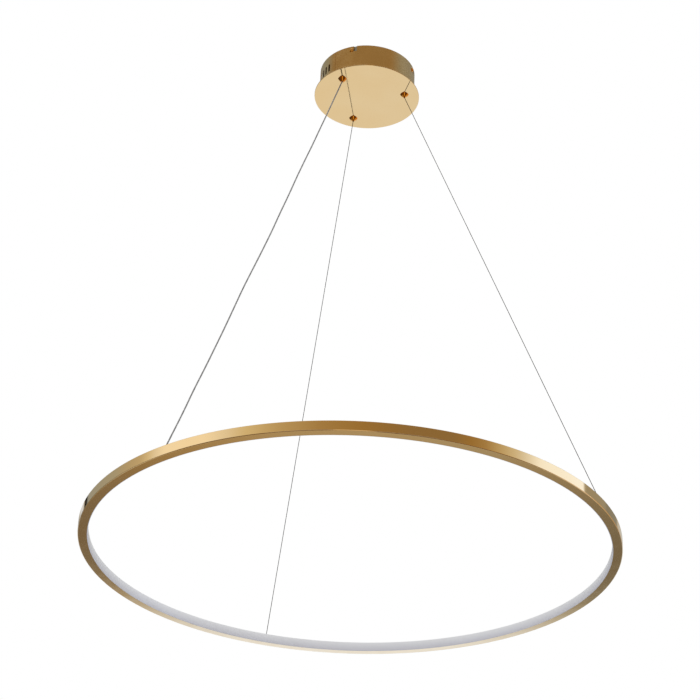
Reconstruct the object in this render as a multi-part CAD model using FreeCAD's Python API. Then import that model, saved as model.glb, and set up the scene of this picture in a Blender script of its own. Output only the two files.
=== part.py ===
import FreeCAD, Part
import math
import os

os.makedirs("parts", exist_ok=True)

# LED ring chandelier. Millimetres, +Z up. The origin is on the ceiling plane, at the centre of the
# ceiling bracket's screw pattern. The ring hangs below on two steel wires and one supply cable.

# ring
RING_RADIUS = 500.0
RING_DEPTH = 18.5
RING_HEIGHT = 18.0
RING_WALL = 1.4
RING_EDGE_ROUND = 1.0
SNAP_RIB_DEPTH = 1.0
SNAP_RIB_HEIGHT = 0.7
SNAP_RIB_INSET = 3.0
SEAM_ANGLE = -160.3
SEAM_GAP = 0.3
DROP = 1047.0

# diffuser
DIFFUSER_FACE = 1.8
DIFFUSER_LIP = 1.2
DIFFUSER_LEG = 1.8
DIFFUSER_HOOK = 1.4

# light strip
STRIP_THICKNESS = 0.35
STRIP_HEIGHT = 10.0
STRIP_GAP = 6.0
LED_COUNT = 180
LED_LENGTH = 3.5
LED_WIDTH = 2.8
LED_THICKNESS = 0.8
LED_SOLDER = 0.15

# splices inside the ring
SPLICE_LENGTH = 60.0
SPLICE_THICKNESS = 2.0
SPLICE_CLEARANCE = 0.3
SPLICE_INSET = 3.0
GRUB_RADIUS = 1.5
GRUB_OFFSET = 18.0

# canopy
FACE_RADIUS = 109.75
FACE_THICKNESS = 2.0
FACE_EDGE_ROUND = 0.4
CANOPY_HEIGHT = 60.0
DRUM_RADIUS = 99.5
DRUM_WALL = 1.2
DRUM_CEILING_GAP = 0.5
FLANGE_WIDTH = 9.0
VENT_COUNT = 4
VENT_FIRST_ANGLE = -143.5
VENT_PITCH_ANGLE = -6.8
VENT_WIDTH = 5.6
VENT_HEIGHT = 18.0
VENT_CENTRE_Z = -31.0

# bayonet slots, ears and side screws
EAR_COUNT = 4
SCREW_ANGLE = -110.3
SCREW_Z = -10.0
SCREW_RADIUS = 2.0
SCREW_REACH = 9.0
HEAD_RADIUS = 4.5
HEAD_HEIGHT = 3.0
DRIVER_RECESS = 1.2
ENTRY_OFFSET = 8.4
ENTRY_WIDTH = 6.4
ENTRY_DEPTH = 13.0
LEG_HEIGHT = 4.8
EAR_WIDTH = 22.0
EAR_HEIGHT = 16.0
EAR_CLEARANCE = 0.3

# ceiling bracket
BRACKET_THICKNESS = 1.2
BRACKET_RIM_INSET = 2.6
ARM_WIDTH = 24.0
CEILING_HOLE_SPACING = 80.0
CEILING_HOLE_RADIUS = 2.6
MAINS_HOLE_RADIUS = 9.0

# suspension: where the three lines leave the canopy and meet the ring
LINE_FIRST_ANGLE = -10.0
LINE_COUNT = 3
CABLE_LINE = 2
ANCHOR_RADIUS = 80.0
PIVOT_DEPTH = 0.9
END_GAP = 0.1
WIRE_RADIUS = 0.6
WIRE_BORE_RADIUS = 0.85
WIRE_MOUTH_RADIUS = 1.6
CABLE_RADIUS = 1.4
CABLE_MOUTH_RADIUS = 2.4
MOUTH_DEPTH = 2.0

# gripper cones under the canopy
CONE_RADIUS = 8.8
CONE_HEIGHT = 5.9
CONE_BULGE = 0.3
CONE_TIP_RADIUS = 2.9
BARREL_RADIUS = 4.0
BARREL_LENGTH = 22.0
CHAMBER_RADIUS = 3.0
NOSE_RADIUS = 1.9
NOSE_REACH = 1.6
SLIDE_CLEARANCE = 0.08
CAGE_TOP = 17.0
CAGE_FLANGE = 1.5
TAPER_START = 6.5
TAPER_END = 15.5
BALL_RADIUS = 0.9
BALL_RISE = 12.5
BALL_CLEARANCE = 0.05
BALL_COUNT = 3
BALL_WINDOW_RADIUS = 1.0
SPRING_RADIUS = 2.7
CAP_LENGTH = 3.0
NUT_ACROSS_FLATS = 13.0
NUT_THICKNESS = 4.0
WASHER_RADIUS = 8.0
WASHER_THICKNESS = 1.0
WIRE_TAIL_TOP_Z = -30.0

# cord grip of the supply cable
GRIP_TIP_RADIUS = 3.1
GRIP_SLEEVE_LENGTH = 10.0
GRIP_SLEEVE_RISE = 4.0
GRIP_HEAD_RADIUS = 5.0
GRIP_HEAD_HEIGHT = 3.0
CABLE_BEND_Z = -20.0
CABLE_BEND_STEP = (-20.0, 18.0, 2.0)
CABLE_OUTLET_RUN = 26.0

# bushes in the ring's top
BUSH_FLANGE_THICKNESS = 0.6
BUSH_FLANGE_RADIUS = 4.2
WIRE_BUSH_RADIUS = 2.6
WIRE_BUSH_LENGTH = 4.0
CABLE_BUSH_RADIUS = 3.4
CABLE_BUSH_LENGTH = 4.0
FERRULE_RADIUS = 1.6
FERRULE_LENGTH = 5.0
CONNECTOR_SIZE = (14.0, 8.0, 5.0)
CONNECTOR_DROP = 1.5
FEED_LEAD_RADIUS = 0.6
FEED_LEAD_SIDE = 3.0

# inside the canopy
DRIVER_LENGTH = 104.0
DRIVER_WIDTH = 42.0
DRIVER_HEIGHT = 24.0
DRIVER_WALL = 1.6
DRIVER_CENTRE_Y = -6.0
DRIVER_TAB = 9.0
DRIVER_TAB_WIDTH = 12.0
DRIVER_OUTLET_DROP = 8.0
LID_LIP = 3.0
LID_LIP_WALL = 1.2
LID_CLEARANCE = 0.2
BOARD_THICKNESS = 1.6
BOARD_RISE = 4.0
BOARD_CLEARANCE = 0.3
BOARD_FOOT = 4.0
CORE_SIZE = (16.0, 20.0, 11.0)
CORE_WINDOW = (10.0, 30.0, 6.0)
WINDING_SIZE = (9.8, 18.0, 5.8)
CORE_X = 4.0
# each capacitor: X, Y from the driver's middle line, radius, height
CAPACITORS = [(-26.0, 6.0, 5.0, 11.0), (-38.0, -6.0, 4.0, 10.0), (30.0, 0.0, 5.0, 11.0)]
STUD_RADIUS = 1.5
STUD_HEIGHT = 8.0
STUD_NUT_FLATS = 5.5
STUD_NUT_THICKNESS = 2.4
STUD_CLEARANCE = 0.2
FLANGE_STUD_COUNT = 4
FLANGE_STUD_ANGLE = 35.0
EARTH_X = -5.0
EARTH_Y = -52.0
EARTH_RING_RADIUS = 4.0
EARTH_TAG_THICKNESS = 1.0
EARTH_TONGUE = (5.0, 16.0)
EARTH_SPADE_HEIGHT = 12.0
BLOCK_SIZE = (18.0, 32.0, 15.0)
BLOCK_CENTRE = (24.0, 42.0)
PORT_HEIGHT = 6.0
PORT_RADIUS = 2.0
PORT_INSERT = 4.0
WELL_RADIUS = 2.2
TERMINAL_SLOT = (0.8, 5.0, 1.0)
LEAD_TURNS = [(74.0, 9.0), (82.0, 1.0)]
LEAD_RADIUS = 1.1
INLET_HEIGHT = 12.0
FIT = 0.05

# planes and radii that follow
FACE_BOTTOM = -CANOPY_HEIGHT
FACE_TOP = FACE_BOTTOM + FACE_THICKNESS
DRUM_TOP = -DRUM_CEILING_GAP
DRUM_INNER = DRUM_RADIUS - DRUM_WALL
FLANGE_TOP = FACE_TOP + DRUM_WALL
RING_BOTTOM = FACE_BOTTOM - DROP
RING_TOP = RING_BOTTOM + RING_HEIGHT
RING_INNER = RING_RADIUS - RING_DEPTH
CHANNEL_RADIUS = RING_RADIUS - RING_WALL
CHANNEL_TOP = RING_TOP - RING_WALL
CHANNEL_BOTTOM = RING_BOTTOM + RING_WALL
RING_MIDDLE = (RING_TOP + RING_BOTTOM) / 2
ATTACH_RADIUS = RING_RADIUS - RING_DEPTH / 2
CONE_TIP_Z = FACE_BOTTOM - CONE_HEIGHT
NOSE_TIP_Z = CONE_TIP_Z - NOSE_REACH
BARREL_TOP_Z = FACE_BOTTOM + BARREL_LENGTH
BUSH_TOP_Z = RING_TOP + BUSH_FLANGE_THICKNESS
ANCHOR_Z = NOSE_TIP_Z + PIVOT_DEPTH
ATTACH_Z = BUSH_TOP_Z - PIVOT_DEPTH
DRIVER_TOP = FACE_TOP + DRIVER_HEIGHT
BOARD_BOTTOM = FACE_TOP + DRIVER_WALL + BOARD_RISE

UP = FreeCAD.Vector(0, 0, 1)
ORIGIN = FreeCAD.Vector(0, 0, 0)

# The supply cable keeps a slight wave. Each point is (part of the way down the line, offset along
# the ring's tangent, offset square to the line, inwards and down), the offsets in millimetres.
CABLE_WAVE = [
    (0.050, 0.5, 0.2),
    (0.101, 1.1, 0.5),
    (0.152, 1.5, 0.4),
    (0.204, 1.7, 0.9),
    (0.254, 0.6, 1.1),
    (0.305, 1.3, 0.8),
    (0.357, 2.2, 1.5),
    (0.409, 2.6, 1.2),
    (0.460, 3.4, 1.9),
    (0.512, 3.1, 1.5),
    (0.561, 1.0, 1.8),
    (0.611, 0.4, 1.1),
    (0.663, 2.2, 0.8),
    (0.715, 2.4, 1.3),
    (0.766, 2.9, 0.9),
    (0.816, 2.1, 1.0),
    (0.866, 0.8, 0.5),
    (0.916, 1.4, 0.7),
    (0.960, 0.9, 0.2),
]


def polar(radius, degrees, z=0.0):
    angle = math.radians(degrees)
    return FreeCAD.Vector(radius * math.cos(angle), radius * math.sin(angle), z)


def cylinder(radius, bottom, top, centre=ORIGIN):
    return Part.makeCylinder(radius, top - bottom, FreeCAD.Vector(centre.x, centre.y, bottom), UP)


def pipe(outer, inner, bottom, top, centre=ORIGIN):
    return cylinder(outer, bottom, top, centre).cut(cylinder(inner, bottom, top, centre))


def cone(low_radius, high_radius, bottom, top, centre=ORIGIN):
    base = FreeCAD.Vector(centre.x, centre.y, bottom)
    return Part.makeCone(low_radius, high_radius, top - bottom, base, UP)


def box(size, centre, bottom):
    corner = FreeCAD.Vector(centre[0] - size[0] / 2, centre[1] - size[1] / 2, bottom)
    return Part.makeBox(size[0], size[1], size[2], corner)


def turned(shape, degrees):
    result = shape.copy()
    result.rotate(ORIGIN, UP, degrees)
    return result


def revolved(points, sweep=360.0, start=0.0):
    corners = [FreeCAD.Vector(r, 0, z) for r, z in points]
    face = Part.Face(Part.makePolygon(corners + corners[:1]))
    return turned(face.revolve(ORIGIN, UP, sweep), start)


def hexagon(across_flats, bottom, thickness, centre, hole):
    radius = across_flats / math.sqrt(3)
    corners = [centre + polar(radius, 60 * k) for k in range(6)]
    face = Part.Face(Part.makePolygon(corners + corners[:1]))
    nut = face.extrude(FreeCAD.Vector(0, 0, thickness))
    nut.translate(FreeCAD.Vector(0, 0, bottom))
    return nut.cut(cylinder(hole, bottom, bottom + thickness, centre))


def fused(shapes):
    result = shapes[0]
    for shape in shapes[1:]:
        result = result.fuse(shape)
    return result.removeSplitter()


def rounded_route(points):
    """Edges of a route, straight runs joined by tangent arcs, and the radii of the arcs."""
    edges = []
    start = points[0]
    radii = []
    for before, corner, after in zip(points, points[1:], points[2:]):
        back = before - corner
        ahead = after - corner
        half_turn = (math.pi - back.getAngle(ahead)) / 2
        setback = 0.45 * min(back.Length, ahead.Length)
        radius = setback / math.tan(half_turn)
        radii.append(radius)
        back.normalize()
        ahead.normalize()
        first = corner + back * setback
        last = corner + ahead * setback
        inward = back + ahead
        inward.normalize()
        middle = corner + inward * (radius / math.cos(half_turn) - radius)
        edges.append(Part.LineSegment(start, first).toShape())
        edges.append(Part.Arc(first, middle, last).toShape())
        start = last
    edges.append(Part.LineSegment(start, points[-1]).toShape())
    return edges, radii


def tube(points, radius, name):
    """A round cord along a route; prints its length, volume ratio and arc radii."""
    edges, radii = rounded_route(points)
    wire = Part.Wire(edges)
    section = Part.Wire([Part.Circle(points[0], points[1] - points[0], radius).toShape()])
    solid = wire.makePipeShell([section], True, False)
    ratio = solid.Volume / (math.pi * radius * radius * wire.Length)
    text = f"{name}: length {wire.Length:.1f}, volume ratio {ratio:.4f}"
    if radii:
        text += f", arc radii from {min(radii):.1f} to {max(radii):.0f}"
    print(text)
    return solid


def line_angle(index):
    return LINE_FIRST_ANGLE + index * 360.0 / LINE_COUNT


def anchor(index, z=ANCHOR_Z):
    return polar(ANCHOR_RADIUS, line_angle(index), z)


def attachment(index, z=ATTACH_Z):
    return polar(ATTACH_RADIUS, line_angle(index), z)


def wire_lines():
    return [k for k in range(LINE_COUNT) if k != CABLE_LINE]


# ---------------------------------------------------------------- ring


def ring_half(start_angle, bush_holes):
    """Half of the channel that opens inwards: a snap rib on each flange, a rounded lower outer edge."""
    flange_in = RING_INNER + DIFFUSER_LIP
    rib_in = RING_INNER + SNAP_RIB_INSET
    rib_out = rib_in + SNAP_RIB_DEPTH
    section = [
        (flange_in, RING_BOTTOM),
        (RING_RADIUS, RING_BOTTOM),
        (RING_RADIUS, RING_TOP),
        (flange_in, RING_TOP),
        (flange_in, CHANNEL_TOP),
        (rib_in, CHANNEL_TOP),
        (rib_in, CHANNEL_TOP - SNAP_RIB_HEIGHT),
        (rib_out, CHANNEL_TOP - SNAP_RIB_HEIGHT),
        (rib_out, CHANNEL_TOP),
        (CHANNEL_RADIUS, CHANNEL_TOP),
        (CHANNEL_RADIUS, CHANNEL_BOTTOM),
        (rib_out, CHANNEL_BOTTOM),
        (rib_out, CHANNEL_BOTTOM + SNAP_RIB_HEIGHT),
        (rib_in, CHANNEL_BOTTOM + SNAP_RIB_HEIGHT),
        (rib_in, CHANNEL_BOTTOM),
        (flange_in, CHANNEL_BOTTOM),
    ]
    trim = math.degrees(SEAM_GAP / 2 / RING_RADIUS)
    half = revolved(section, 180.0 - 2 * trim, start_angle + trim)
    edges = [e for e in half.Edges if e.BoundBox.ZMax < RING_BOTTOM + 0.01 and e.Length > RING_RADIUS]
    outer = max(edges, key=lambda e: e.Length)
    return half.makeFillet(RING_EDGE_ROUND, [outer]).cut(bush_holes)


def bush_holes():
    holes = []
    for k in range(LINE_COUNT):
        radius = CABLE_BUSH_RADIUS if k == CABLE_LINE else WIRE_BUSH_RADIUS
        holes.append(cylinder(radius + FIT, CHANNEL_TOP - 1, RING_TOP + 1, attachment(k)))
    return Part.makeCompound(holes)


def groove_out():
    return RING_INNER + SNAP_RIB_INSET + SNAP_RIB_DEPTH + FIT


def diffuser():
    """Milky strip: a front wall that laps over the flanges' edges, two legs hooked on the ribs."""
    top = CHANNEL_TOP - FIT
    lip_back = RING_INNER + DIFFUSER_LIP - FIT
    groove_in = RING_INNER + SNAP_RIB_INSET - FIT
    hook_end = groove_out() + DIFFUSER_HOOK
    face_back = RING_INNER + DIFFUSER_FACE
    upper = [
        (RING_INNER, RING_TOP),
        (lip_back, RING_TOP),
        (lip_back, top),
        (groove_in, top),
        (groove_in, top - SNAP_RIB_HEIGHT),
        (groove_out(), top - SNAP_RIB_HEIGHT),
        (groove_out(), top),
        (hook_end, top),
        (hook_end, top - DIFFUSER_LEG),
        (face_back, top - DIFFUSER_LEG),
    ]
    lower = [(r, 2 * RING_MIDDLE - z) for r, z in reversed(upper)]
    return revolved(upper + lower)


def light_strip():
    outer = CHANNEL_RADIUS - FIT
    inner = outer - STRIP_THICKNESS
    low = RING_MIDDLE - STRIP_HEIGHT / 2
    high = RING_MIDDLE + STRIP_HEIGHT / 2
    trim = math.degrees(STRIP_GAP / 2 / outer)
    section = [(inner, low), (outer, low), (outer, high), (inner, high)]
    return revolved(section, 360.0 - 2 * trim, SEAM_ANGLE + trim)


def led_packages():
    outer = CHANNEL_RADIUS - FIT - STRIP_THICKNESS - LED_SOLDER
    package = Part.makeBox(LED_THICKNESS, LED_LENGTH, LED_WIDTH)
    sag = outer - math.sqrt(outer**2 - (LED_LENGTH / 2) ** 2)
    place = FreeCAD.Vector(outer - sag - LED_THICKNESS, -LED_LENGTH / 2, RING_MIDDLE - LED_WIDTH / 2)
    package.translate(place)
    pitch = 360.0 / LED_COUNT
    packages = [turned(package, SEAM_ANGLE + (k + 0.5) * pitch) for k in range(LED_COUNT)]
    return Part.makeCompound(packages)


def splice_sites():
    """The bottom plane and the seam angle of each splice plate, low and high in the channel."""
    sites = []
    for half in range(2):
        angle = SEAM_ANGLE + 180.0 * half
        sites.append((CHANNEL_BOTTOM, angle))
        sites.append((CHANNEL_TOP - SPLICE_THICKNESS, angle))
    return sites


def grub_angle():
    return math.degrees(GRUB_OFFSET / (CHANNEL_RADIUS - SPLICE_INSET))


def splice_radii():
    return groove_out() + DIFFUSER_HOOK + SPLICE_CLEARANCE, CHANNEL_RADIUS - SPLICE_INSET


def splice_plates():
    inner, outer = splice_radii()
    sweep = math.degrees(SPLICE_LENGTH / outer)
    plates = []
    for bottom, angle in splice_sites():
        top = bottom + SPLICE_THICKNESS
        section = [(inner, bottom), (outer, bottom), (outer, top), (inner, top)]
        plate = revolved(section, sweep, angle - sweep / 2)
        for side in (-1, 1):
            centre = polar((inner + outer) / 2, angle + side * grub_angle())
            plate = plate.cut(cylinder(GRUB_RADIUS + FIT, bottom - 1, top + 1, centre))
        plates.append(plate)
    return Part.makeCompound(plates)


def splice_grub_screws():
    middle = sum(splice_radii()) / 2
    screws = []
    for bottom, angle in splice_sites():
        for side in (-1, 1):
            centre = polar(middle, angle + side * grub_angle())
            screws.append(cylinder(GRUB_RADIUS, bottom, bottom + SPLICE_THICKNESS, centre))
    return Part.makeCompound(screws)


def ring_bush(index, radius, length, bore, mouth):
    """Flanged bush in the ring's top: the line bends over its flared mouth."""
    centre = attachment(index)
    bottom = BUSH_TOP_Z - BUSH_FLANGE_THICKNESS - length
    barrel = cylinder(radius, bottom, BUSH_TOP_Z, centre)
    flange = cylinder(BUSH_FLANGE_RADIUS, RING_TOP, BUSH_TOP_Z, centre)
    flare = cone(bore, mouth, BUSH_TOP_Z - MOUTH_DEPTH, BUSH_TOP_Z, centre)
    hole = cylinder(bore, bottom, BUSH_TOP_Z, centre)
    return fused([barrel, flange]).cut(flare).cut(hole)


def wire_bush(index):
    return ring_bush(index, WIRE_BUSH_RADIUS, WIRE_BUSH_LENGTH, WIRE_BORE_RADIUS, WIRE_MOUTH_RADIUS)


def cable_bush():
    bore = CABLE_RADIUS + SLIDE_CLEARANCE
    return ring_bush(CABLE_LINE, CABLE_BUSH_RADIUS, CABLE_BUSH_LENGTH, bore, CABLE_MOUTH_RADIUS)


def ferrule_top():
    return RING_TOP - WIRE_BUSH_LENGTH


def wire_ferrules():
    top = ferrule_top()
    shapes = []
    for k in wire_lines():
        shapes.append(pipe(FERRULE_RADIUS, WIRE_RADIUS, top - FERRULE_LENGTH, top, attachment(k)))
    return Part.makeCompound(shapes)


def wire_ring_ends():
    """The wires' last millimetres, straight down through the bushes into the ferrules."""
    top = ATTACH_Z - WIRE_RADIUS - END_GAP
    bottom = ferrule_top() - FERRULE_LENGTH
    shapes = [cylinder(WIRE_RADIUS, bottom, top, attachment(k)) for k in wire_lines()]
    return Part.makeCompound(shapes)


def connector_top():
    return RING_TOP - CABLE_BUSH_LENGTH - CONNECTOR_DROP


def cable_ring_end():
    top = ATTACH_Z - CABLE_RADIUS - END_GAP
    return cylinder(CABLE_RADIUS, connector_top(), top, attachment(CABLE_LINE))


def feed_connector():
    """Block under the cable's bush where the supply cable's cores meet the strip's leads."""
    length, width, height = CONNECTOR_SIZE
    top = connector_top()
    block = Part.makeBox(width, length, height)
    block.translate(FreeCAD.Vector(ATTACH_RADIUS - width / 2, -length / 2, top - height))
    return turned(block, line_angle(CABLE_LINE))


def feed_leads():
    """Two leads from the connector's outer face to the pads of the light strip."""
    _, width, height = CONNECTOR_SIZE
    z = connector_top() - height / 2
    start = ATTACH_RADIUS + width / 2
    strip_face = CHANNEL_RADIUS - FIT - STRIP_THICKNESS
    end = math.sqrt(strip_face**2 - FEED_LEAD_SIDE**2) - FIT
    leads = []
    for offset in (-FEED_LEAD_SIDE, FEED_LEAD_SIDE):
        base = FreeCAD.Vector(start, offset, z)
        lead = Part.makeCylinder(FEED_LEAD_RADIUS, end - start, base, FreeCAD.Vector(1, 0, 0))
        leads.append(turned(lead, line_angle(CABLE_LINE)))
    return Part.makeCompound(leads)


# ---------------------------------------------------------------- free lines


def wire_line(index):
    """A taut wire: a straight round rod with a rounded end in each flared mouth."""
    top = anchor(index)
    bottom = attachment(index)
    along = bottom - top
    along.normalize()
    side = UP.cross(along)
    side.normalize()
    diagonal = WIRE_RADIUS * math.sqrt(0.5)
    tip = top - along * WIRE_RADIUS
    end = bottom + along * WIRE_RADIUS
    shoulder = top + side * WIRE_RADIUS
    foot = bottom + side * WIRE_RADIUS
    outline = [
        Part.Arc(tip, top + (side - along) * diagonal, shoulder).toShape(),
        Part.LineSegment(shoulder, foot).toShape(),
        Part.Arc(foot, bottom + (side + along) * diagonal, end).toShape(),
        Part.LineSegment(end, tip).toShape(),
    ]
    return Part.Face(Part.Wire(outline)).revolve(top, along, 360.0)


def cable_points():
    top = anchor(CABLE_LINE)
    run = attachment(CABLE_LINE) - top
    sideways = polar(1, line_angle(CABLE_LINE) + 90)
    sagging = sideways.cross(run)
    sagging.normalize()
    points = [top]
    for part, side, sag in CABLE_WAVE:
        points.append(top + run * part + sideways * side + sagging * sag)
    points.append(attachment(CABLE_LINE))
    return points


def cable_line():
    points = cable_points()
    cord = tube(points, CABLE_RADIUS, "supply cable")
    ends = [Part.makeSphere(CABLE_RADIUS, points[0]), Part.makeSphere(CABLE_RADIUS, points[-1])]
    return fused([cord] + ends)


# ---------------------------------------------------------------- canopy


def face_plate():
    plate = cylinder(FACE_RADIUS, FACE_BOTTOM, FACE_TOP)
    rims = [edge for edge in plate.Edges if abs(edge.Length - 2 * math.pi * FACE_RADIUS) < 1e-3]
    plate = plate.makeFillet(FACE_EDGE_ROUND, rims)
    for k in range(LINE_COUNT):
        plate = plate.cut(cylinder(BARREL_RADIUS + FIT, FACE_BOTTOM - 1, FACE_TOP + 1, anchor(k)))
    return plate


def flange_stud_places():
    radius = DRUM_INNER - FLANGE_WIDTH / 2
    step = 360.0 / FLANGE_STUD_COUNT
    return [polar(radius, FLANGE_STUD_ANGLE + k * step) for k in range(FLANGE_STUD_COUNT)]


def driver_stud_places():
    reach = (DRIVER_LENGTH + DRIVER_TAB) / 2
    return [FreeCAD.Vector(side * reach, DRIVER_CENTRE_Y, 0) for side in (-1, 1)]


def earth_place():
    return FreeCAD.Vector(EARTH_X, EARTH_Y, 0)


def screw_angles():
    return [SCREW_ANGLE + k * 360.0 / EAR_COUNT for k in range(EAR_COUNT)]


def bayonet_slot():
    """L-shaped slot from the drum's rim: a wide way in, and a narrow leg back to the screw."""
    inner = DRUM_INNER - 2
    depth = DRUM_WALL + 4
    floor = DRUM_TOP - ENTRY_DEPTH
    way_in = Part.makeBox(depth, ENTRY_WIDTH, ENTRY_DEPTH + 2)
    way_in.translate(FreeCAD.Vector(inner, ENTRY_OFFSET - ENTRY_WIDTH / 2, floor))
    leg = Part.makeBox(depth, ENTRY_OFFSET, LEG_HEIGHT)
    leg.translate(FreeCAD.Vector(inner, 0, SCREW_Z - LEG_HEIGHT / 2))
    seat_base = FreeCAD.Vector(inner, 0, SCREW_Z)
    seat = Part.makeCylinder(LEG_HEIGHT / 2, depth, seat_base, FreeCAD.Vector(1, 0, 0))
    return fused([way_in, leg, seat])


def vent_slot():
    slot = Part.makeBox(DRUM_WALL + 4, VENT_WIDTH, VENT_HEIGHT)
    slot.translate(FreeCAD.Vector(DRUM_INNER - 2, -VENT_WIDTH / 2, VENT_CENTRE_Z - VENT_HEIGHT / 2))
    return slot


def drum():
    """Side wall with an inturned flange that bolts down on the face plate."""
    section = [
        (DRUM_INNER - FLANGE_WIDTH, FACE_TOP),
        (DRUM_RADIUS, FACE_TOP),
        (DRUM_RADIUS, DRUM_TOP),
        (DRUM_INNER, DRUM_TOP),
        (DRUM_INNER, FLANGE_TOP),
        (DRUM_INNER - FLANGE_WIDTH, FLANGE_TOP),
    ]
    cuts = [turned(bayonet_slot(), angle) for angle in screw_angles()]
    for group in (0.0, 180.0):
        for k in range(VENT_COUNT):
            cuts.append(turned(vent_slot(), VENT_FIRST_ANGLE + k * VENT_PITCH_ANGLE + group))
    for place in flange_stud_places():
        cuts.append(cylinder(STUD_RADIUS + STUD_CLEARANCE, FACE_TOP - 1, FLANGE_TOP + 1, place))
    return revolved(section).cut(Part.makeCompound(cuts))


def ear_offset():
    return ENTRY_OFFSET / 2


def ceiling_bracket():
    """Pressed plate that closes the canopy above, with four tabs turned down as ears for screws."""
    corner = DRUM_INNER - EAR_CLEARANCE
    half_width = EAR_WIDTH / 2 + ear_offset()
    ear_face = math.sqrt(corner**2 - half_width**2)
    shapes = [cylinder(ear_face - BRACKET_RIM_INSET, -BRACKET_THICKNESS, 0)]
    ear_side = ear_offset() - EAR_WIDTH / 2
    for angle in screw_angles():
        arm = Part.makeBox(ear_face, ARM_WIDTH, BRACKET_THICKNESS)
        arm.translate(FreeCAD.Vector(0, -ARM_WIDTH / 2, -BRACKET_THICKNESS))
        ear = Part.makeBox(BRACKET_THICKNESS, EAR_WIDTH, EAR_HEIGHT)
        ear.translate(FreeCAD.Vector(ear_face - BRACKET_THICKNESS, ear_side, -EAR_HEIGHT))
        hole_base = FreeCAD.Vector(ear_face - 5, 0, SCREW_Z)
        hole = Part.makeCylinder(SCREW_RADIUS + FIT, 10, hole_base, FreeCAD.Vector(1, 0, 0))
        shapes.append(turned(arm.fuse(ear).cut(hole), angle))
    plate = fused(shapes)
    for side in (-1, 1):
        centre = FreeCAD.Vector(side * CEILING_HOLE_SPACING / 2, 0, 0)
        plate = plate.cut(cylinder(CEILING_HOLE_RADIUS, -BRACKET_THICKNESS - 1, 1, centre))
    return plate.cut(cylinder(MAINS_HOLE_RADIUS, -BRACKET_THICKNESS - 1, 1))


def side_screw():
    """Dome-headed screw along +X, its head against the drum's outside."""
    seat = DRUM_RADIUS + FIT
    axis = FreeCAD.Vector(1, 0, 0)
    dome_radius = (HEAD_RADIUS**2 + HEAD_HEIGHT**2) / (2 * HEAD_HEIGHT)
    dome = Part.makeSphere(dome_radius, FreeCAD.Vector(seat + HEAD_HEIGHT - dome_radius, 0, SCREW_Z))
    base = FreeCAD.Vector(seat, 0, SCREW_Z)
    head = Part.makeCylinder(HEAD_RADIUS, HEAD_HEIGHT, base, axis).common(dome)
    shank_base = FreeCAD.Vector(seat - SCREW_REACH, 0, SCREW_Z)
    shank = Part.makeCylinder(SCREW_RADIUS, SCREW_REACH + 0.5, shank_base, axis)
    slot_base = FreeCAD.Vector(seat + HEAD_HEIGHT - DRIVER_RECESS, -HEAD_RADIUS, SCREW_Z - 0.5)
    slot = Part.makeBox(DRIVER_RECESS + 1, 2 * HEAD_RADIUS, 1.0, slot_base)
    return fused([head, shank]).cut(slot)


def side_screws():
    return Part.makeCompound([turned(side_screw(), angle) for angle in screw_angles()])


def face_studs():
    places = flange_stud_places() + driver_stud_places() + [earth_place()]
    shapes = [cylinder(STUD_RADIUS, FACE_TOP, FACE_TOP + STUD_HEIGHT, place) for place in places]
    return Part.makeCompound(shapes)


def stud_nut(place, bottom):
    return hexagon(STUD_NUT_FLATS, bottom, STUD_NUT_THICKNESS, place, STUD_RADIUS + FIT)


def face_stud_nuts():
    shapes = [stud_nut(place, FLANGE_TOP) for place in flange_stud_places()]
    shapes += [stud_nut(place, FACE_TOP + DRIVER_WALL) for place in driver_stud_places()]
    shapes.append(stud_nut(earth_place(), FACE_TOP + EARTH_TAG_THICKNESS))
    return Part.makeCompound(shapes)


def earth_tag():
    """Ring tag on the earth stud with a spade that stands up for the supply's earth core."""
    width, length = EARTH_TONGUE
    thickness = EARTH_TAG_THICKNESS
    tongue_start = EARTH_Y + EARTH_RING_RADIUS - thickness
    tongue_end = tongue_start + length
    ring = pipe(EARTH_RING_RADIUS, STUD_RADIUS + FIT, FACE_TOP, FACE_TOP + thickness, earth_place())
    tongue_place = (EARTH_X, tongue_start + length / 2)
    tongue = box((width, length, thickness), tongue_place, FACE_TOP)
    spade_place = (EARTH_X, tongue_end - thickness / 2)
    spade = box((width, thickness, EARTH_SPADE_HEIGHT), spade_place, FACE_TOP)
    return fused([ring, tongue, spade])


# ---------------------------------------------------------------- grippers


def gripper_outside(index, tip_radius, tip_z):
    """Cone below the face plate with a gently swelling flank, and the threaded barrel above."""
    middle_radius = (CONE_RADIUS + tip_radius) / 2 + CONE_BULGE
    middle_z = (FACE_BOTTOM + tip_z) / 2 - CONE_BULGE
    flank = Part.Arc(
        FreeCAD.Vector(CONE_RADIUS, 0, FACE_BOTTOM),
        FreeCAD.Vector(middle_radius, 0, middle_z),
        FreeCAD.Vector(tip_radius, 0, tip_z),
    ).toShape()
    corners = [
        (tip_radius, tip_z),
        (0, tip_z),
        (0, BARREL_TOP_Z),
        (BARREL_RADIUS, BARREL_TOP_Z),
        (BARREL_RADIUS, FACE_BOTTOM),
        (CONE_RADIUS, FACE_BOTTOM),
    ]
    points = [FreeCAD.Vector(r, 0, z) for r, z in corners]
    outline = Part.Wire([flank] + Part.makePolygon(points).Edges)
    shape = Part.Face(outline).revolve(ORIGIN, UP, 360)
    shape.translate(FreeCAD.Vector(anchor(index).x, anchor(index).y, 0))
    return shape


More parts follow.
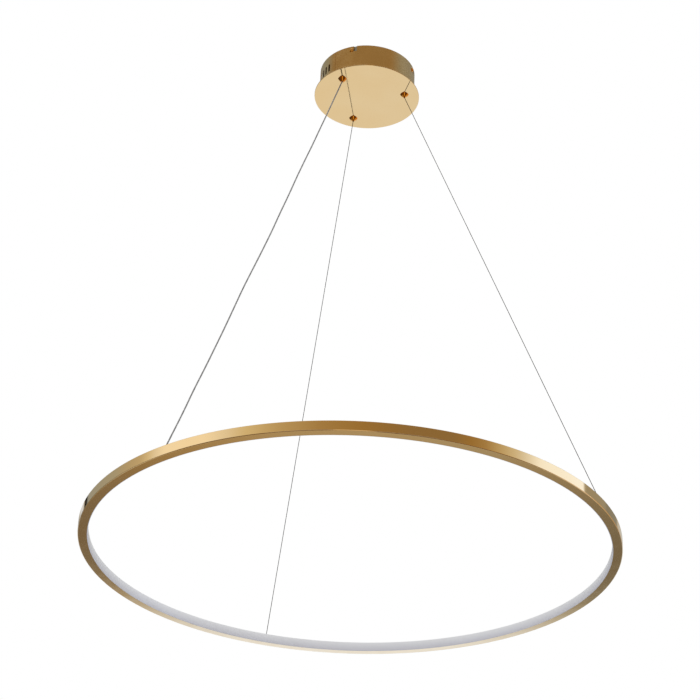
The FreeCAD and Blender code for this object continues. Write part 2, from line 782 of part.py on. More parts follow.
def gripper_body(index):
    """Body with a guide bore for the nose, a taper for the balls and a spring chamber above."""
    centre = anchor(index)
    guide = NOSE_RADIUS + SLIDE_CLEARANCE
    taper_low = CONE_TIP_Z + TAPER_START
    taper_high = CONE_TIP_Z + TAPER_END
    body = gripper_outside(index, CONE_TIP_RADIUS, CONE_TIP_Z)
    body = body.cut(cylinder(guide, CONE_TIP_Z - 1, taper_low, centre))
    body = body.cut(cone(guide, CHAMBER_RADIUS, taper_low, taper_high, centre))
    return body.cut(cylinder(CHAMBER_RADIUS, taper_high, BARREL_TOP_Z + 1, centre))


def cage_top():
    return CONE_TIP_Z + CAGE_TOP


def ball_z():
    return CONE_TIP_Z + BALL_RISE


def gripper_plunger(index):
    """Hollow nose that is pushed up to let go: three windows for the balls, a spring seat on top."""
    centre = anchor(index)
    top = cage_top()
    plunger = cylinder(NOSE_RADIUS, NOSE_TIP_Z, top, centre)
    seat = cylinder(SPRING_RADIUS, top - CAGE_FLANGE, top, centre)
    plunger = fused([plunger, seat]).cut(cylinder(WIRE_BORE_RADIUS, NOSE_TIP_Z - 1, top + 1, centre))
    mouth = cone(WIRE_MOUTH_RADIUS, WIRE_BORE_RADIUS, NOSE_TIP_Z, NOSE_TIP_Z + MOUTH_DEPTH, centre)
    plunger = plunger.cut(mouth)
    for k in range(BALL_COUNT):
        base = FreeCAD.Vector(centre.x, centre.y, ball_z())
        along = polar(1, k * 360.0 / BALL_COUNT)
        window = Part.makeCylinder(BALL_WINDOW_RADIUS, NOSE_RADIUS + 1, base, along)
        plunger = plunger.cut(window)
    return plunger


def gripper_balls(index):
    centre = anchor(index, ball_z())
    reach = WIRE_RADIUS + BALL_RADIUS + BALL_CLEARANCE
    places = [centre + polar(reach, k * 360.0 / BALL_COUNT) for k in range(BALL_COUNT)]
    return Part.makeCompound([Part.makeSphere(BALL_RADIUS, place) for place in places])


def cap_bottom():
    return BARREL_TOP_Z - CAP_LENGTH


def gripper_spring(index):
    """The coil spring between cage and cap, drawn as a plain sleeve."""
    return pipe(SPRING_RADIUS, NOSE_RADIUS, cage_top(), cap_bottom(), anchor(index))


def gripper_caps():
    outer = CHAMBER_RADIUS - FIT
    shapes = []
    for k in wire_lines():
        shapes.append(pipe(outer, WIRE_BORE_RADIUS, cap_bottom(), BARREL_TOP_Z, anchor(k)))
    return Part.makeCompound(shapes)


def gripper_washers():
    top = FACE_TOP + WASHER_THICKNESS
    hole = BARREL_RADIUS + FIT
    shapes = [pipe(WASHER_RADIUS, hole, FACE_TOP, top, anchor(k)) for k in range(LINE_COUNT)]
    return Part.makeCompound(shapes)


def gripper_nuts():
    bottom = FACE_TOP + WASHER_THICKNESS
    hole = BARREL_RADIUS + FIT
    shapes = []
    for k in range(LINE_COUNT):
        centre = anchor(k, 0)
        shapes.append(hexagon(NUT_ACROSS_FLATS, bottom, NUT_THICKNESS, centre, hole))
    return Part.makeCompound(shapes)


def wire_canopy_ends():
    """The wires above their pivots, straight up through plunger, spring and cap."""
    bottom = ANCHOR_Z + WIRE_RADIUS + END_GAP
    shapes = [cylinder(WIRE_RADIUS, bottom, WIRE_TAIL_TOP_Z, anchor(k)) for k in wire_lines()]
    return Part.makeCompound(shapes)


def sleeve_bottom():
    return FACE_BOTTOM + GRIP_SLEEVE_RISE


def cord_grip_body():
    centre = anchor(CABLE_LINE)
    bore = CABLE_RADIUS + SLIDE_CLEARANCE
    body = gripper_outside(CABLE_LINE, GRIP_TIP_RADIUS, NOSE_TIP_Z)
    body = body.cut(cylinder(bore, NOSE_TIP_Z - 1, sleeve_bottom(), centre))
    body = body.cut(cylinder(CHAMBER_RADIUS, sleeve_bottom(), BARREL_TOP_Z + 1, centre))
    return body.cut(cone(CABLE_MOUTH_RADIUS, bore, NOSE_TIP_Z, NOSE_TIP_Z + MOUTH_DEPTH, centre))


def cord_grip_sleeve():
    top = sleeve_bottom() + GRIP_SLEEVE_LENGTH
    return pipe(CHAMBER_RADIUS - FIT, CABLE_RADIUS, sleeve_bottom(), top, anchor(CABLE_LINE))


def cord_grip_screw():
    """Hollow screw that squeezes the sleeve on the cable."""
    bottom = sleeve_bottom() + GRIP_SLEEVE_LENGTH
    centre = anchor(CABLE_LINE)
    screw = cylinder(CHAMBER_RADIUS - FIT, bottom, BARREL_TOP_Z, centre)
    head_top = BARREL_TOP_Z + GRIP_HEAD_HEIGHT
    head = cylinder(GRIP_HEAD_RADIUS, BARREL_TOP_Z, head_top, centre)
    bore = CABLE_RADIUS + SLIDE_CLEARANCE
    return fused([screw, head]).cut(cylinder(bore, bottom - 1, head_top + 1, centre))


def cable_canopy_end():
    """The cable above its pivot: up through the grip, over and down to the driver's outlet."""
    start = anchor(CABLE_LINE, ANCHOR_Z + CABLE_RADIUS + END_GAP)
    bend = FreeCAD.Vector(start.x, start.y, CABLE_BEND_Z)
    outlet_z = DRIVER_TOP - DRIVER_OUTLET_DROP
    outlet = FreeCAD.Vector(-DRIVER_LENGTH / 2, DRIVER_CENTRE_Y, outlet_z)
    before_outlet = outlet - FreeCAD.Vector(CABLE_OUTLET_RUN, 0, 0)
    points = [start, bend, bend + FreeCAD.Vector(*CABLE_BEND_STEP), before_outlet, outlet]
    return tube(points, CABLE_RADIUS, "cable inside the canopy")


# ---------------------------------------------------------------- driver and terminals


def driver_base():
    tray_size = (DRIVER_LENGTH, DRIVER_WIDTH, DRIVER_HEIGHT - DRIVER_WALL)
    tray = box(tray_size, (0, DRIVER_CENTRE_Y), FACE_TOP)
    hollow_size = (
        DRIVER_LENGTH - 2 * DRIVER_WALL,
        DRIVER_WIDTH - 2 * DRIVER_WALL,
        DRIVER_HEIGHT,
    )
    hollow = box(hollow_size, (0, DRIVER_CENTRE_Y), FACE_TOP + DRIVER_WALL)
    tabs_size = (DRIVER_LENGTH + 2 * DRIVER_TAB, DRIVER_TAB_WIDTH, DRIVER_WALL)
    tabs = box(tabs_size, (0, DRIVER_CENTRE_Y), FACE_TOP)
    shape = fused([tray, tabs]).cut(hollow)
    for place in driver_stud_places():
        hole = cylinder(STUD_RADIUS + STUD_CLEARANCE, FACE_TOP - 1, FACE_TOP + DRIVER_WALL + 1, place)
        shape = shape.cut(hole)
    return shape


def driver_cover():
    """Lid that closes the tray, with a lip inside the walls."""
    centre = (0, DRIVER_CENTRE_Y)
    plate_bottom = DRIVER_TOP - DRIVER_WALL
    plate = box((DRIVER_LENGTH, DRIVER_WIDTH, DRIVER_WALL), centre, plate_bottom)
    inset = 2 * (DRIVER_WALL + LID_CLEARANCE)
    lip_size = (DRIVER_LENGTH - inset, DRIVER_WIDTH - inset, LID_LIP)
    lip = box(lip_size, centre, plate_bottom - LID_LIP)
    hollow_size = (lip_size[0] - 2 * LID_LIP_WALL, lip_size[1] - 2 * LID_LIP_WALL, LID_LIP)
    hollow = box(hollow_size, centre, plate_bottom - LID_LIP)
    return fused([plate, lip.cut(hollow)])


def driver_board():
    inset = 2 * (DRIVER_WALL + BOARD_CLEARANCE)
    size = (DRIVER_LENGTH - inset, DRIVER_WIDTH - inset, BOARD_THICKNESS)
    board = box(size, (0, DRIVER_CENTRE_Y), BOARD_BOTTOM)
    feet = []
    for x in (-1, 1):
        for y in (-1, 1):
            foot_x = x * (size[0] / 2 - BOARD_FOOT)
            foot_y = DRIVER_CENTRE_Y + y * (size[1] / 2 - BOARD_FOOT)
            foot_size = (BOARD_FOOT, BOARD_FOOT, BOARD_RISE)
            feet.append(box(foot_size, (foot_x, foot_y), FACE_TOP + DRIVER_WALL))
    return fused([board] + feet)


def driver_transformer():
    """Ferrite core round a winding bobbin, standing on the board."""
    bottom = BOARD_BOTTOM + BOARD_THICKNESS
    centre = (CORE_X, DRIVER_CENTRE_Y)
    window_bottom = bottom + (CORE_SIZE[2] - CORE_WINDOW[2]) / 2
    core = box(CORE_SIZE, centre, bottom)
    window = box(CORE_WINDOW, centre, window_bottom)
    winding = box(WINDING_SIZE, centre, window_bottom)
    return fused([core.cut(window), winding])


def driver_capacitors():
    bottom = BOARD_BOTTOM + BOARD_THICKNESS
    shapes = []
    for x, y, radius, height in CAPACITORS:
        centre = FreeCAD.Vector(x, DRIVER_CENTRE_Y + y, 0)
        shapes.append(cylinder(radius, bottom, bottom + height, centre))
    return Part.makeCompound(shapes)


def block_ways():
    """Centres of the block's three ways, side by side along Y."""
    pitch = BLOCK_SIZE[1] / 3
    return [FreeCAD.Vector(BLOCK_CENTRE[0], BLOCK_CENTRE[1] + k * pitch, 0) for k in (-1, 0, 1)]


def terminal_block():
    """Three-way block with a wire port through each way and a screw well above it."""
    width, _, height = BLOCK_SIZE
    port_z = FACE_TOP + PORT_HEIGHT
    block = box(BLOCK_SIZE, BLOCK_CENTRE, FACE_TOP)
    for way in block_ways():
        base = FreeCAD.Vector(way.x - width / 2 - 1, way.y, port_z)
        port = Part.makeCylinder(PORT_RADIUS, width + 2, base, FreeCAD.Vector(1, 0, 0))
        well = cylinder(WELL_RADIUS, port_z, FACE_TOP + height + 1, way)
        block = block.cut(port).cut(well)
    return block


def terminal_screws():
    top = FACE_TOP + BLOCK_SIZE[2] - 1.0
    bottom = FACE_TOP + PORT_HEIGHT + LEAD_RADIUS + FIT
    shapes = []
    for way in block_ways():
        screw = cylinder(WELL_RADIUS - FIT, bottom, top, way)
        slot = box(TERMINAL_SLOT, (way.x, way.y), top - TERMINAL_SLOT[2])
        shapes.append(screw.cut(slot))
    return Part.makeCompound(shapes)


def driver_leads():
    """Live and neutral from the terminal block, round in a U to the driver's inlet end."""
    inlet_x = DRIVER_LENGTH / 2
    port_z = FACE_TOP + PORT_HEIGHT
    inlet_z = FACE_TOP + INLET_HEIGHT
    shapes = []
    start_x = BLOCK_CENTRE[0] + BLOCK_SIZE[0] / 2 - PORT_INSERT
    for k, (way, (turn_x, inlet_y)) in enumerate(zip(block_ways(), LEAD_TURNS)):
        points = [
            FreeCAD.Vector(start_x, way.y, port_z),
            FreeCAD.Vector(turn_x, way.y, port_z),
            FreeCAD.Vector(turn_x, inlet_y, inlet_z),
            FreeCAD.Vector(inlet_x, inlet_y, inlet_z),
        ]
        shapes.append(tube(points, LEAD_RADIUS, f"driver lead {k + 1}"))
    return Part.makeCompound(shapes)


def export(name, shape):
    solids = len(shape.Solids)
    if not shape.isValid() or solids == 0:
        print(f"{name}: NOT VALID, {solids} solids")
    shape.exportStep(f"parts/{name}.step")


def build():
    holes = bush_holes()
    export("ring_profile_front", ring_half(SEAM_ANGLE, holes))
    export("ring_profile_back", ring_half(SEAM_ANGLE + 180.0, holes))
    export("ring_diffuser", diffuser())
    export("light_strip", light_strip())
    export("led_packages", led_packages())
    export("splice_plates", splice_plates())
    export("splice_grub_screws", splice_grub_screws())
    for label, k in zip("ab", wire_lines()):
        export(f"wire_bush_{label}", wire_bush(k))
        export(f"suspension_wire_{label}", wire_line(k))
        export(f"gripper_body_{label}", gripper_body(k))
        export(f"gripper_plunger_{label}", gripper_plunger(k))
        export(f"gripper_balls_{label}", gripper_balls(k))
        export(f"gripper_spring_{label}", gripper_spring(k))
    export("cable_bush", cable_bush())
    export("wire_ferrules", wire_ferrules())
    export("wire_ring_ends", wire_ring_ends())
    export("cable_ring_end", cable_ring_end())
    export("feed_connector", feed_connector())
    export("feed_leads", feed_leads())
    export("supply_cable", cable_line())
    export("canopy_face", face_plate())
    export("canopy_drum", drum())
    export("ceiling_bracket", ceiling_bracket())
    export("side_screws", side_screws())
    export("face_studs", face_studs())
    export("face_stud_nuts", face_stud_nuts())
    export("earth_tag", earth_tag())
    export("gripper_caps", gripper_caps())
    export("gripper_washers", gripper_washers())
    export("gripper_nuts", gripper_nuts())
    export("wire_canopy_ends", wire_canopy_ends())
    export("cord_grip_body", cord_grip_body())
    export("cord_grip_sleeve", cord_grip_sleeve())
    export("cord_grip_screw", cord_grip_screw())
    export("cable_canopy_end", cable_canopy_end())
    export("driver_base", driver_base())
    export("driver_cover", driver_cover())
    export("driver_board", driver_board())
    export("driver_transformer", driver_transformer())
    export("driver_capacitors", driver_capacitors())
    export("terminal_block", terminal_block())
    export("terminal_screws", terminal_screws())
    export("driver_leads", driver_leads())


build()
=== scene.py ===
import math

import bmesh
import bpy
from mathutils import Matrix, Vector


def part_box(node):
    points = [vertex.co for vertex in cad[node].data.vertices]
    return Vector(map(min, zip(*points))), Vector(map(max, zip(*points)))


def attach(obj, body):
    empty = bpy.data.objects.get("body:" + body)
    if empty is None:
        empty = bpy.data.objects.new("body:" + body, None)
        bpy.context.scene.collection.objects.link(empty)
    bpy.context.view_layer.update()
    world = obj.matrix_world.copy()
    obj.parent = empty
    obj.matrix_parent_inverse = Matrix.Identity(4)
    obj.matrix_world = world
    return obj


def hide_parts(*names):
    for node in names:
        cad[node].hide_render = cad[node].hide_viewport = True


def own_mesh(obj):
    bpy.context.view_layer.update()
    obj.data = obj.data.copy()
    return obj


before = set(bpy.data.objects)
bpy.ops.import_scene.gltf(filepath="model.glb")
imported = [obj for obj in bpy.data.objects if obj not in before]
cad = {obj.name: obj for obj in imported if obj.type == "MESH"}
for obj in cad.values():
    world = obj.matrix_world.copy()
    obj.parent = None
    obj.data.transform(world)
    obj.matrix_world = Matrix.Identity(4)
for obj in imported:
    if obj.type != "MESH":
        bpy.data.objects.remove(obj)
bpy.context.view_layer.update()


# ------------------------------------------------------------------ ceiling bracket
# A zinc-plated steel pressing: a round plate that closes the canopy above, with four tabs turned
# down as ears. It is screwed to the ceiling first, and the side screws hold in its ears.
EVEN = (1, 1, 1)


def linear(red, green, blue):
    """A colour written as 0-255 screen values, as a shader wants it."""
    parts = [c / 255 for c in (red, green, blue)]
    parts = [c / 12.92 if c <= 0.04045 else ((c + 0.055) / 1.055) ** 2.4 for c in parts]
    return (*parts, 1.0)


def node(tree, kind, inputs=(), **settings):
    """A node with its settings made, and its inputs set to values or joined to other sockets."""
    made = tree.nodes.new(kind)
    for key, value in settings.items():
        setattr(made, key, value)
    for socket, value in dict(inputs).items():
        if isinstance(value, bpy.types.NodeSocket):
            tree.links.new(value, made.inputs[socket])
        else:
            made.inputs[socket].default_value = value
    return made


def maths(tree, operation, *values, **settings):
    """One step of arithmetic on numbers or sockets."""
    numbered = dict(enumerate(values))
    return node(tree, "ShaderNodeMath", numbered, operation=operation, **settings).outputs[0]


def ranged(tree, value, low, high, start=0.0, end=1.0):
    """A value from low to high turned into one from start to end, and held between them."""
    limits = {0: value, 1: low, 2: high, 3: start, 4: end}
    return node(tree, "ShaderNodeMapRange", limits).outputs[0]


def blended(tree, factor, first, second):
    """One colour turning into another as the factor goes from 0 to 1."""
    inputs = {0: factor, 6: first, 7: second}
    return node(tree, "ShaderNodeMix", inputs, data_type="RGBA").outputs[2]


def on_piece(tree):
    """The place on the piece, in metres from the origin."""
    return node(tree, "ShaderNodeTexCoord").outputs["Object"]


def grain(tree, stretch, scale, detail=3.0):
    """Noise on the piece, drawn out along an axis by a small stretch value there."""
    drawn = node(tree, "ShaderNodeMapping", {"Vector": on_piece(tree), "Scale": stretch})
    inputs = {"Vector": drawn.outputs[0], "Scale": scale, "Detail": detail}
    return node(tree, "ShaderNodeTexNoise", inputs).outputs["Fac"]


def finish(name, colour, metallic=0.0, roughness=0.4, **sockets):
    """A material with one shader, its constant values set on the shader's own sockets."""
    material = bpy.data.materials.new(name)
    material.use_nodes = True
    shader = material.node_tree.nodes["Principled BSDF"]
    shader.inputs["Base Color"].default_value = colour
    shader.inputs["Metallic"].default_value = metallic
    shader.inputs["Roughness"].default_value = roughness
    for label, value in sockets.items():
        shader.inputs[label.replace("_", " ")].default_value = value
    return material, material.node_tree, shader


def two_tone(tree, shader, noise, first, second):
    """A colour that wanders between two tones."""
    tree.links.new(blended(tree, noise, first, second), shader.inputs["Base Color"])


def uneven_gloss(tree, shader, noise, low, high):
    """Roughness from low to high. Most of the noise lies between 0.3 and 0.7."""
    tree.links.new(ranged(tree, noise, 0.3, 0.7, low, high), shader.inputs["Roughness"])


def bumps(tree, shader, noise, microns):
    """Fine relief of this depth."""
    bump = node(tree, "ShaderNodeBump", {"Height": noise, "Distance": microns / 1e6})
    tree.links.new(bump.outputs[0], shader.inputs["Normal"])


def coat(material, *names):
    """Gives CAD nodes their material."""
    for name in names:
        slots = cad[name].data.materials
        slots.clear()
        slots.append(material)


zinc, tree, shader = finish("zinc_plate", linear(176, 178, 182), 1.0, 0.34)
spangle = grain(tree, EVEN, 90.0, 4.0)
two_tone(tree, shader, spangle, linear(160, 163, 168), linear(192, 192, 190))
uneven_gloss(tree, shader, grain(tree, EVEN, 260.0), 0.26, 0.42)
bumps(tree, shader, grain(tree, (1, 0.04, 1), 900.0), 40)
coat(zinc, "ceiling_bracket")


# ------------------------------------------------------------------ canopy
# A polished, gold-lacquered steel disc, and a rolled drum that bolts on it with an inturned flange.
# The drum has bayonet slots in its rim and two groups of vents, and a fine butt seam beside one.
GOLD = linear(247, 217, 165)
GOLD_DEEP = linear(243, 207, 148)
# the seam's bearing, and how far from it the line is full and is gone, all in radians
SEAM_BEARING, SEAM_FULL, SEAM_GONE = math.radians(-132.4), 0.005, 0.009


def gold_lacquer(name, roughness, lines, scale, microns):
    """Gold lacquer on metal: fine lines, a little unevenness in the lacquer, and a clear gloss."""
    gloss = {"Coat_Weight": 0.35, "Coat_Roughness": 0.06}
    material, tree, shader = finish(name, GOLD, 1.0, roughness, **gloss)
    two_tone(tree, shader, grain(tree, EVEN, 14.0, 4.0), GOLD_DEEP, GOLD)
    smears = grain(tree, EVEN, 46.0, 5.0)
    uneven_gloss(tree, shader, smears, roughness * 0.8, roughness * 1.25)
    bumps(tree, shader, grain(tree, lines, scale), microns)
    return material, tree, shader


disc_gold = gold_lacquer("disc_gold", 0.05, EVEN, 380.0, 0.5)[0]
coat(disc_gold, "canopy_face")

drum_gold, tree, shader = gold_lacquer("drum_gold", 0.16, (0.05, 0.05, 1), 1500.0, 4)
x, y, z = node(tree, "ShaderNodeSeparateXYZ", {0: on_piece(tree)}).outputs
off_seam = maths(tree, "SUBTRACT", maths(tree, "ARCTAN2", y, x), SEAM_BEARING)
on_seam = ranged(tree, maths(tree, "ABSOLUTE", off_seam), SEAM_GONE, SEAM_FULL)
plain = shader.inputs["Base Color"].links[0].from_socket
two_tone(tree, shader, on_seam, plain, linear(214, 176, 122))
coat(drum_gold, "canopy_drum")


# ------------------------------------------------------------------ side screws and face studs
# Gold-plated dome screws with one slot hold the drum to the bracket's ears. Zinc-plated studs are
# welded on the disc, and their nuts clamp the drum's flange, the driver and the brass earth tag.


def mottled(name, colour, metallic, roughness, blotches, tones, **sockets):
    """A finish whose colour wanders between two tones in soft blotches."""
    material, tree, shader = finish(name, linear(*colour), metallic, roughness, **sockets)
    first, second = tones
    two_tone(tree, shader, grain(tree, EVEN, blotches), linear(*first), linear(*second))
    return material, tree, shader


tones = (214, 144, 52), (236, 176, 84)
screw_gold, tree, shader = mottled("screw_gold", (226, 160, 66), 1.0, 0.16, 160.0, tones)
bumps(tree, shader, grain(tree, EVEN, 700.0), 20)
coat(screw_gold, "side_screws")
coat(zinc, "face_studs", "face_stud_nuts", "gripper_washers", "gripper_nuts")

tones = (196, 156, 88), (224, 192, 124)
tag_brass, tree, shader = mottled("tag_brass", (214, 178, 106), 1.0, 0.36, 220.0, tones)
bumps(tree, shader, grain(tree, (1, 0.05, 1), 1200.0), 30)
coat(tag_brass, "earth_tag")


# ------------------------------------------------------------------ driver and terminal block
# A moulded white driver case screwed to the disc, with its board, transformer and capacitors, and
# a three-way terminal block. Two brown leads run round from the block to the driver's inlet.
tones = (219, 219, 213), (231, 231, 227)
case_white, tree, shader = mottled("case_white", (226, 226, 221), 0.0, 0.5, 60.0, tones)
bumps(tree, shader, grain(tree, EVEN, 1400.0, 2.0), 80)
coat(case_white, "driver_base", "driver_cover", "terminal_block", "feed_connector")
coat(zinc, "terminal_screws")

board_green, tree, shader = finish("board_green", linear(44, 104, 62), 0.0, 0.32)
weave = {"Color1": linear(40, 98, 58), "Color2": linear(52, 116, 70), "Mortar": linear(48, 110, 64)}
weave |= {"Vector": on_piece(tree), "Scale": 420.0}
glass_cloth = node(tree, "ShaderNodeTexBrick", weave)
tree.links.new(glass_cloth.outputs["Color"], shader.inputs["Base Color"])
coat(board_green, "driver_board")

tones = (48, 46, 46), (78, 76, 74)
ferrite, tree, shader = mottled("ferrite", (62, 60, 60), 0.0, 0.55, 900.0, tones)
bumps(tree, shader, grain(tree, EVEN, 1100.0), 60)
coat(ferrite, "driver_transformer")

can_blue, tree, shader = finish("can_blue", linear(58, 66, 92), 0.0, 0.3)
streaks = grain(tree, (1, 1, 0.1), 500.0)
two_tone(tree, shader, streaks, linear(50, 58, 84), linear(68, 76, 104))
coat(can_blue, "driver_capacitors")


def route_line(name, points):
    """A route as one open smooth spline whose control points are the route's points."""
    curve = bpy.data.curves.new(name, "CURVE")
    curve.dimensions = "3D"
    spline = curve.splines.new("NURBS")
    spline.points.add(len(points) - 1)
    for target, point in zip(spline.points, points):
        target.co = (*point, 1.0)
    spline.order_u = 3
    spline.use_endpoint_u = True
    spline.resolution_u = 12
    return bpy.data.objects.new(name, curve)


def shape_tree(name, sizes):
    """An empty node tree with a named input for each size; gives the tree and its inputs."""
    tree = bpy.data.node_groups.new(name, "GeometryNodeTree")
    tree.interface.new_socket("Geometry", in_out="INPUT", socket_type="NodeSocketGeometry")
    for label, value in sizes.items():
        kind = "NodeSocketInt" if isinstance(value, int) else "NodeSocketFloat"
        tree.interface.new_socket(label, in_out="INPUT", socket_type=kind)
    tree.interface.new_socket("Geometry", in_out="OUTPUT", socket_type="NodeSocketGeometry")
    return tree, tree.nodes.new("NodeGroupInput").outputs


def stepped(tree, curve, step):
    """The curve cut into even steps of about this length."""
    inputs = {"Curve": curve, "Length": step}
    return node(tree, "GeometryNodeResampleCurve", inputs, mode="LENGTH").outputs[0]


def round_section(tree, points, radius):
    inputs = {"Resolution": points, "Radius": radius}
    return node(tree, "GeometryNodeCurvePrimitiveCircle", inputs).outputs[0]


def swept(tree, curve, section):
    """The section carried along the curve, with closed ends."""
    inputs = {"Curve": curve, "Profile Curve": section, "Fill Caps": True}
    return node(tree, "GeometryNodeCurveToMesh", inputs).outputs[0]


def end_tree(tree, result, material):
    """Ends a tree: the result smooth, as real geometry, in its material."""
    smooth = node(tree, "GeometryNodeSetShadeSmooth", {"Geometry": result, "Shade Smooth": True})
    real = node(tree, "GeometryNodeRealizeInstances", {"Geometry": smooth.outputs[0]})
    inputs = {"Geometry": real.outputs[0], "Material": material}
    painted = node(tree, "GeometryNodeSetMaterial", inputs)
    node(tree, "NodeGroupOutput", {0: painted.outputs[0]})


def grow(name, tree, material, sizes, base=None):
    """Runs an ended tree on a base object with these sizes, and keeps the result as a mesh."""
    holder = base or bpy.data.objects.new(name + "_base", bpy.data.meshes.new(name))
    bpy.context.scene.collection.objects.link(holder)
    modifier = holder.modifiers.new("shape", "NODES")
    modifier.node_group = tree
    for item in tree.interface.items_tree:
        if item.in_out == "INPUT" and item.name in sizes:
            modifier[item.identifier] = sizes[item.name]
    seen = bpy.context.evaluated_depsgraph_get()
    mesh = bpy.data.meshes.new_from_object(holder.evaluated_get(seen), depsgraph=seen)
    bpy.data.objects.remove(holder)
    if material.name not in mesh.materials:
        mesh.materials.clear()
        mesh.materials.append(material)
    piece = bpy.data.objects.new(name, mesh)
    bpy.context.scene.collection.objects.link(piece)
    return piece


def cord_tree(name, sizes, material):
    """A plain round cord along the base curve."""
    tree, size = shape_tree(name, sizes)
    route = stepped(tree, size["Geometry"], size["step"])
    end_tree(tree, swept(tree, route, round_section(tree, 16, size["radius"])), material)
    return tree


tones = (84, 50, 32), (102, 64, 42)
lead_brown, tree, shader = mottled("lead_brown", (92, 56, 36), 0.0, 0.38, 130.0, tones)

LEAD = {"step": 0.001, "radius": 0.0011}
BLOCK_X, BLOCK_Z = 0.029, -0.052
INLET_X, INLET_Z = 0.052, -0.046
lead_tree = cord_tree("lead", LEAD, lead_brown)
leads = []
for name, block_y, outer_x, inlet_y in (
    ("live", 0.031333, 0.074, 0.009),
    ("neutral", 0.042, 0.082, 0.001),
):
    points = [
        (BLOCK_X, block_y, BLOCK_Z), (outer_x, block_y, BLOCK_Z),
        (outer_x, inlet_y, INLET_Z), (INLET_X, inlet_y, INLET_Z),
    ]
    base = route_line(name, points)
    leads.append(grow("driver_lead_" + name, lead_tree, lead_brown, LEAD, base))
for lead in leads:
    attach(lead, "canopy")
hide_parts("driver_leads")


# ------------------------------------------------------------------ wire grippers
# Turned and polished brass cones below the disc, with a barrel through it. Inside each, a brass
# nose with three steel balls, pushed down by a coil spring under a pressed-in cap, holds the wire.
tones = (238, 160, 52), (252, 184, 74)
gripper_gold, tree, shader = mottled("gripper_gold", (246, 172, 62), 1.0, 0.09, 120.0, tones)
bumps(tree, shader, grain(tree, (0.02, 0.02, 1), 3000.0), 4)
coat(gripper_gold, "gripper_body_a", "gripper_body_b", "cord_grip_body")

tones = (180, 122, 62), (208, 156, 92)
nose_brass, tree, shader = mottled("nose_brass", (196, 140, 78), 1.0, 0.2, 400.0, tones)
coat(nose_brass, "gripper_plunger_a", "gripper_plunger_b", "cord_grip_screw")

ball_steel, tree, shader = finish("ball_steel", linear(200, 202, 205), 1.0, 0.08)
uneven_gloss(tree, shader, grain(tree, EVEN, 2500.0), 0.05, 0.14)
coat(ball_steel, "gripper_balls_a", "gripper_balls_b")
coat(zinc, "gripper_caps")

tones = (214, 212, 203), (229, 228, 221)
sleeve_nylon, tree, shader = mottled("sleeve_nylon", (222, 220, 212), 0.0, 0.42, 300.0, tones)
coat(sleeve_nylon, "cord_grip_sleeve")

spring_steel, tree, shader = finish("spring_steel", linear(190, 192, 196), 1.0, 0.24)
uneven_gloss(tree, shader, grain(tree, EVEN, 3000.0), 0.18, 0.32)

low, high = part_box("gripper_spring_a")
SPRING = {"turns": 5.0, "radius": 0.0023, "gauge": 0.0003}
SPRING["height"] = high.z - low.z - 2 * SPRING["gauge"]
spring_tree, size = shape_tree("spring", SPRING)
inputs = {"Resolution": 24, "Rotations": size["turns"], "Height": size["height"]}
inputs |= {"Start Radius": size["radius"], "End Radius": size["radius"]}
helix = node(spring_tree, "GeometryNodeCurveSpiral", inputs).outputs[0]
section = round_section(spring_tree, 8, size["gauge"])
end_tree(spring_tree, swept(spring_tree, helix, section), spring_steel)
for letter in ("a", "b"):
    spring = grow("spring_coil_" + letter, spring_tree, spring_steel, SPRING)
    low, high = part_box("gripper_spring_" + letter)
    middle = (low + high) / 2
    foot = low.z + SPRING["gauge"]
    spring.data.transform(Matrix.Translation((middle.x, middle.y, foot)))
    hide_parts("gripper_spring_" + letter)
    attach(spring, "canopy")
    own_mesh(spring)


# ------------------------------------------------------------------ steel suspension wires
# Stranded stainless wire, 1.2 mm thick: six strands laid round a core. Each is held by its gripper
# above, and by a crimped ferrule under its bush in the ring's top below.
ANCHOR_RADIUS, ANCHOR_Z = 0.080, -0.0666
ATTACH_RADIUS, ATTACH_Z = 0.49075, -1.0893
WIRE_DEGREES = {"a": -10.0, "b": 110.0}
# the held ends are straight, and start a little inside the gripper and the bush
HELD_FROM, HELD_TOP_Z, HELD_FOOT_Z = 0.0007, -0.030, -1.098
STRAND = {"step": 0.0006, "lay": 0.0075, "radius": 0.0006, "lobe": 0.00005}
STRANDS, SECTION_POINTS = 6, 18


def polar(radius, degrees, z):
    """A point at this radius and bearing about the lamp's axis."""
    angle = math.radians(degrees)
    return Vector((radius * math.cos(angle), radius * math.sin(angle), z))


def line_points(name, points):
    """The points of a route's own smooth spline."""
    line = route_line(name, points)
    bpy.context.scene.collection.objects.link(line)
    seen = bpy.context.evaluated_depsgraph_get()
    mesh = bpy.data.meshes.new_from_object(line.evaluated_get(seen), depsgraph=seen)
    bpy.data.objects.remove(line)
    return [tuple(v.co) for v in mesh.vertices]


def laid(tree, curve, lay):
    """The curve turned about its own line, once in each lay length."""
    along = node(tree, "GeometryNodeSplineParameter").outputs["Length"]
    twist = maths(tree, "MULTIPLY", maths(tree, "DIVIDE", along, lay), math.tau)
    return node(tree, "GeometryNodeSetCurveTilt", {"Curve": curve, "Tilt": twist}).outputs[0]


tones = (40, 40, 41), (64, 64, 64)
strand_steel, tree, shader = mottled("strand_steel", (52, 52, 52), 1.0, 0.3, 900.0, tones)

